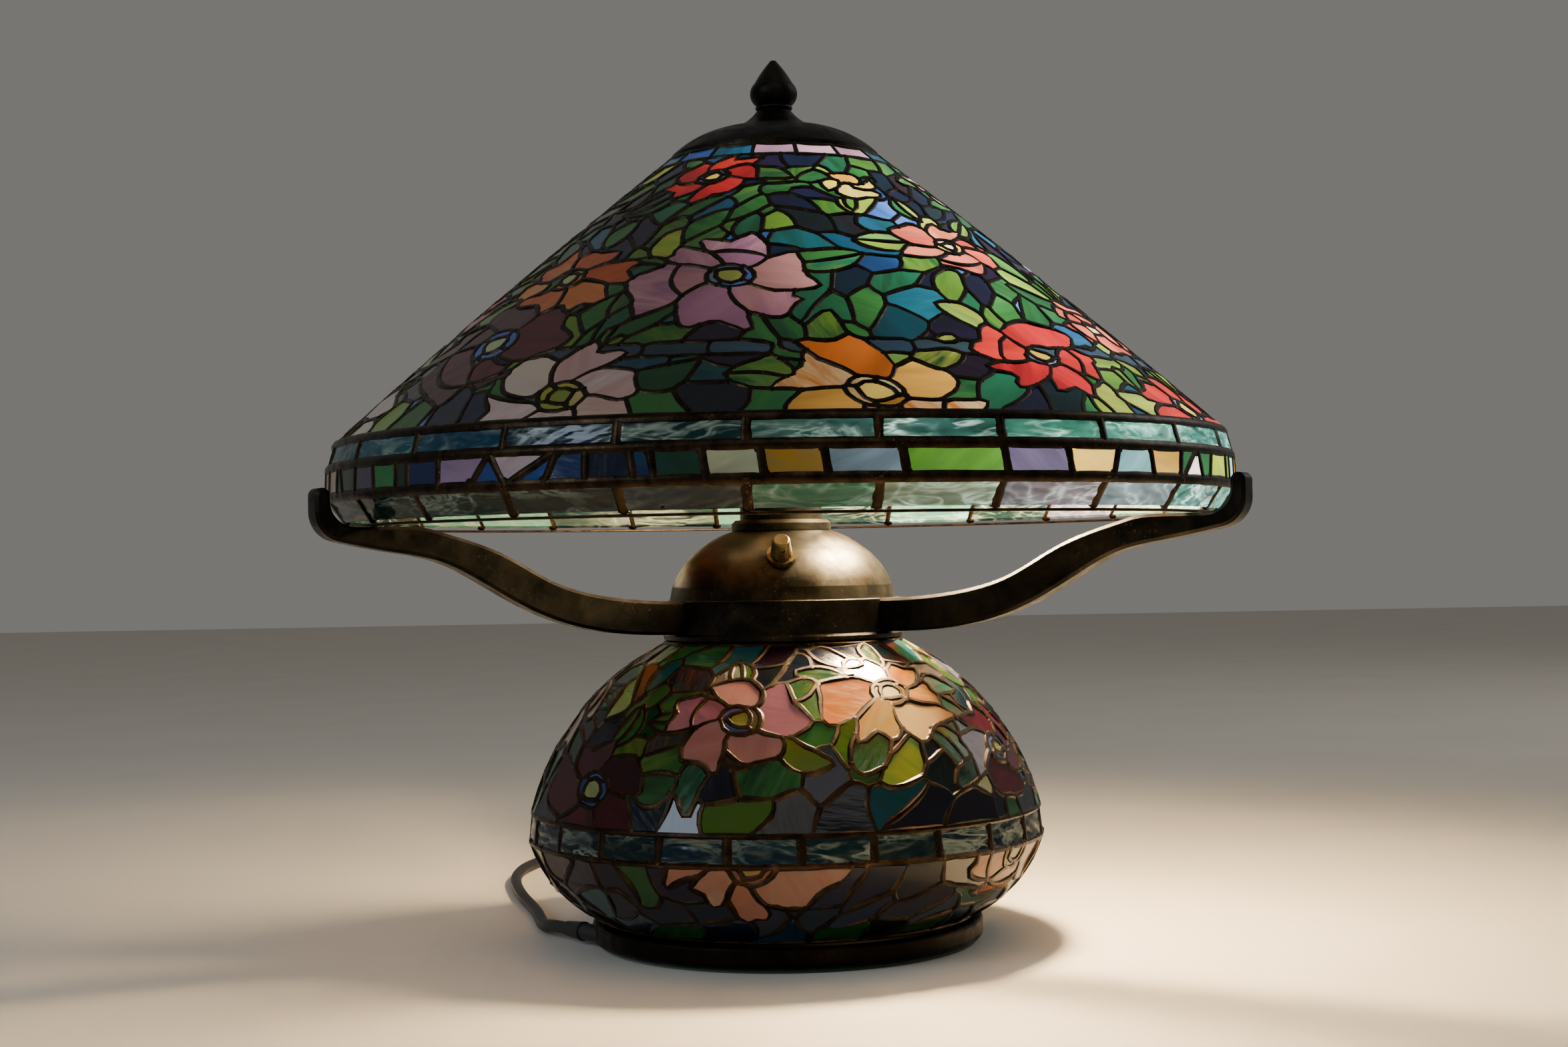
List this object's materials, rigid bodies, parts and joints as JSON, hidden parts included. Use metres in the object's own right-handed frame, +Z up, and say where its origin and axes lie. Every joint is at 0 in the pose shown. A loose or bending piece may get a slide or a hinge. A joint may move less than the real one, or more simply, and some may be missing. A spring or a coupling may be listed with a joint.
{
  "type": "leaded mosaic glass table lamp",
  "caption": "Table lamp with a conical leaded mosaic glass shade that lifts off a three-armed spider, on a squat mosaic glass base with a turn switch and a mains cord.",
  "frame": {"origin": "centre of the flat underside that the lamp stands on", "axes": "+Z up along the lamp's axis, -Y towards the front with the switch knob, +X to the viewer's right"},
  "size_m": [0.4572, 0.5716, 0.4487],
  "materials": {
    "bronze": "dark antique bronze patina, brown-black, brushed and mottled",
    "shade_glass": "streaky opalescent sheet glass in many colours",
    "border_glass": "rippled and streaky glass tiles",
    "base_glass": "opalescent sheet glass in dark colours",
    "lead": "dark patinated solder",
    "brass": "satin brass",
    "nickel": "satin metal",
    "bulb": "frosted bulb glass",
    "insulator": "moulded insulating plastic",
    "iron": "rough casting",
    "felt": "dark green felt",
    "cord_black": "black cord sheath, slightly glossy"
  },
  "bodies": {
    "lamp": {"arm_screws": "nickel", "base_belt_tiles": "base_glass", "base_came_rings": "lead", "base_glass_lower": "base_glass", "base_glass_upper": "base_glass", "base_plate": "nickel", "base_plate_screws": "nickel", "base_weight": "iron", "centre_rod": "nickel", "cluster_body": "bronze", "cluster_collar": "bronze", "cluster_neck": "bronze", "cord_bushing": "cord_black", "cord_coil": "cord_black", "cord_lead": "cord_black", "cord_tail": "cord_black", "dome_cover": "bronze", "felt_pad": "felt", "foot_casting": "bronze", "inner_bulb_base": "brass", "inner_bulb_glass": "bulb", "inner_lampholder": "insulator", "inner_lead": "cord_black", "neck_collar": "bronze", "plug_body": "cord_black", "plug_pins": "nickel", "rod_nuts": "brass", "socket_cap_left": "brass", "socket_cap_right": "brass", "socket_insulators": "insulator", "socket_screw_shells": "brass", "socket_shell_left": "brass", "socket_shell_right": "brass", "spider_arm_back": "bronze", "spider_arm_left": "bronze", "spider_arm_right": "bronze", "spider_hub": "bronze", "switch_body": "insulator", "switch_ring_nut": "brass"},
    "shade": {"shade_glass_upper": "shade_glass", "shade_glass_lower": "shade_glass", "shade_strip_tiles": "shade_glass", "border_upper_tiles": "border_glass", "border_middle_tiles": "border_glass", "border_lower_tiles": "border_glass", "shade_came_rings": "lead", "shade_rim_ring": "lead", "shade_top_ring": "brass", "vase_cap": "bronze", "cap_stud": "brass", "cap_nut": "brass"},
    "finial_body": {"finial": "bronze"},
    "knob": {"switch_knob": "brass", "switch_shaft": "brass"},
    "bulb_left": {"bulb_base_left": "nickel", "bulb_glass_left": "bulb", "bulb_filament_left": "nickel"},
    "bulb_right": {"bulb_base_right": "nickel", "bulb_glass_right": "bulb", "bulb_filament_right": "nickel"}
  },
  "joints": [
    {"name": "shade_lift", "type": "slide", "parent": "lamp", "child": "shade", "axis": [0, 0, 1], "range_m": [0, 0.15]},
    {"name": "finial_turn", "type": "hinge", "parent": "shade", "child": "finial_body", "pos_m": [0, 0, 0.43], "axis": [0, 0, 1], "continuous": true},
    {"name": "switch_turn", "type": "hinge", "parent": "lamp", "child": "knob", "pos_m": [0, -0.04733, 0.19385], "axis": [0, -0.7193, 0.6947], "continuous": true},
    {"name": "bulb_left_out", "type": "slide", "parent": "lamp", "child": "bulb_left", "axis": [-0.866, 0, 0.5], "range_m": [0, 0.024]},
    {"name": "bulb_right_out", "type": "slide", "parent": "lamp", "child": "bulb_right", "axis": [0.866, 0, 0.5], "range_m": [0, 0.024]}
  ]
}
